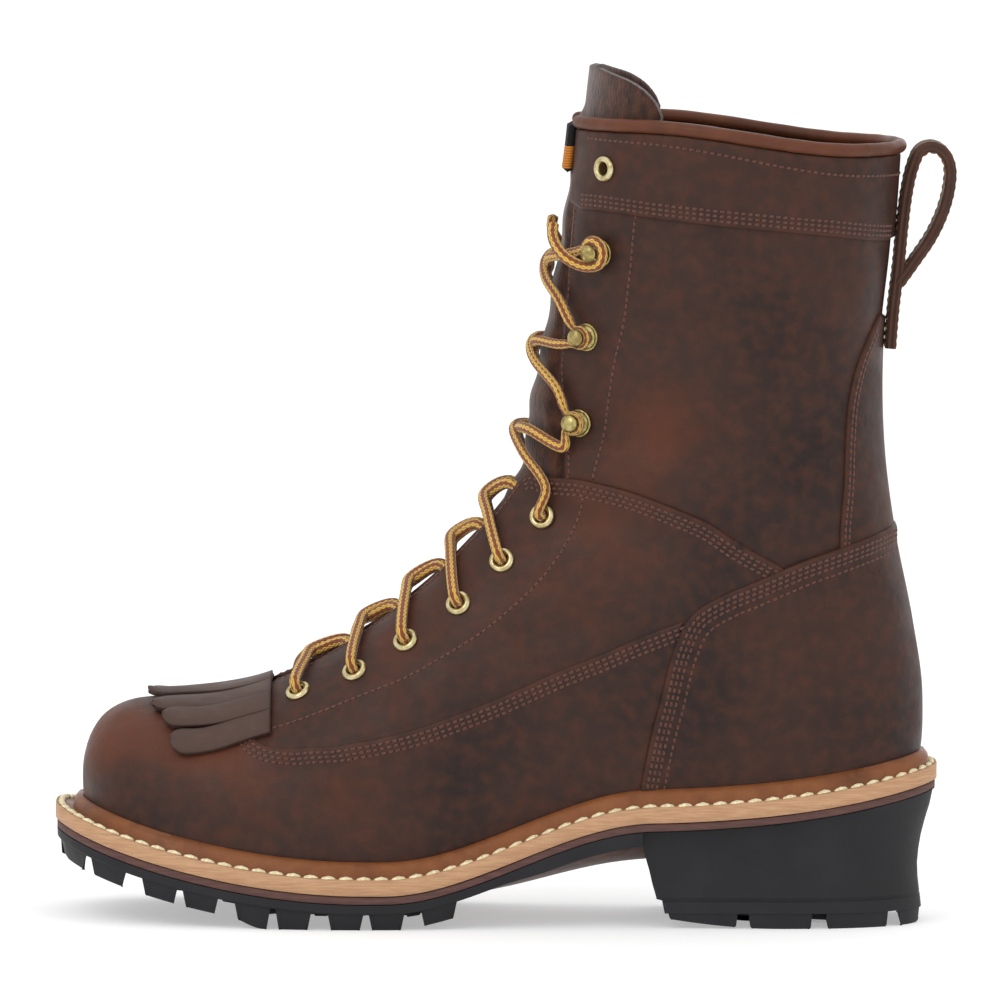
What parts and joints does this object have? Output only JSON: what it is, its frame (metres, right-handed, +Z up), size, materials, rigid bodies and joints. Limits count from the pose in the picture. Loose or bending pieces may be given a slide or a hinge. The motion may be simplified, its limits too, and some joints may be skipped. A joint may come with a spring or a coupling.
{
  "type": "logger boot",
  "caption": "Left lace-up logger boot: tall leather shaft, tongue and fringe, storm welt, lugged rubber sole and high underslung heel, open at the collar and throat.",
  "frame": {"origin": "on the floor under the middle of the boot, laces ends left out", "axes": "+Z up from the floor; -X towards the toe, +X towards the heel; -Y towards the outer side of the left foot, +Y towards the inner side"},
  "size_m": [0.3188, 0.1134, 0.3049],
  "materials": {
    "black_rubber": "moulded, dull",
    "brown_rubber": "trimmed edge, dull",
    "tan_leather": "bare edge, waxed",
    "welt_leather": "waxed",
    "boot_leather": "oiled, burnished",
    "binding_leather": "smooth, rolled",
    "suede": "napped",
    "fringe_leather": "oiled",
    "eyelet_brass": "pale, satin",
    "hook_brass": "antique, satin",
    "lace_yarn": "braided"
  },
  "bodies": {
    "root": {"outsole": "black_rubber", "heel": "black_rubber", "rubber_midsole": "brown_rubber", "leather_midsole": "tan_leather", "welt": "welt_leather", "insole": "tan_leather", "upper": "boot_leather", "quarter_outer": "boot_leather", "quarter_inner": "boot_leather", "counter": "boot_leather", "backstay": "boot_leather", "shaft_band": "boot_leather", "collar_binding": "binding_leather", "tongue": "suede", "fringe": "fringe_leather", "pull_loop": "boot_leather", "eyelet_outer_1": "eyelet_brass", "eyelet_inner_1": "eyelet_brass", "eyelet_outer_2": "eyelet_brass", "eyelet_inner_2": "eyelet_brass", "eyelet_outer_3": "eyelet_brass", "eyelet_inner_3": "eyelet_brass", "eyelet_outer_4": "eyelet_brass", "eyelet_inner_4": "eyelet_brass", "eyelet_outer_5": "eyelet_brass", "eyelet_inner_5": "eyelet_brass", "eyelet_outer_6": "eyelet_brass", "eyelet_inner_6": "eyelet_brass", "eyelet_outer_10": "eyelet_brass", "eyelet_inner_10": "eyelet_brass", "hook_outer_7": "hook_brass", "hook_inner_7": "hook_brass", "hook_outer_8": "hook_brass", "hook_inner_8": "hook_brass", "hook_outer_9": "hook_brass", "hook_inner_9": "hook_brass", "lace_cross_1": "lace_yarn", "lace_cross_2": "lace_yarn", "lace_cross_3": "lace_yarn", "lace_cross_4": "lace_yarn", "lace_cross_5": "lace_yarn", "lace_cross_6": "lace_yarn", "lace_cross_7": "lace_yarn", "lace_cross_8": "lace_yarn", "lace_end_outer": "lace_yarn", "lace_end_inner": "lace_yarn"}
  },
  "joints": []
}
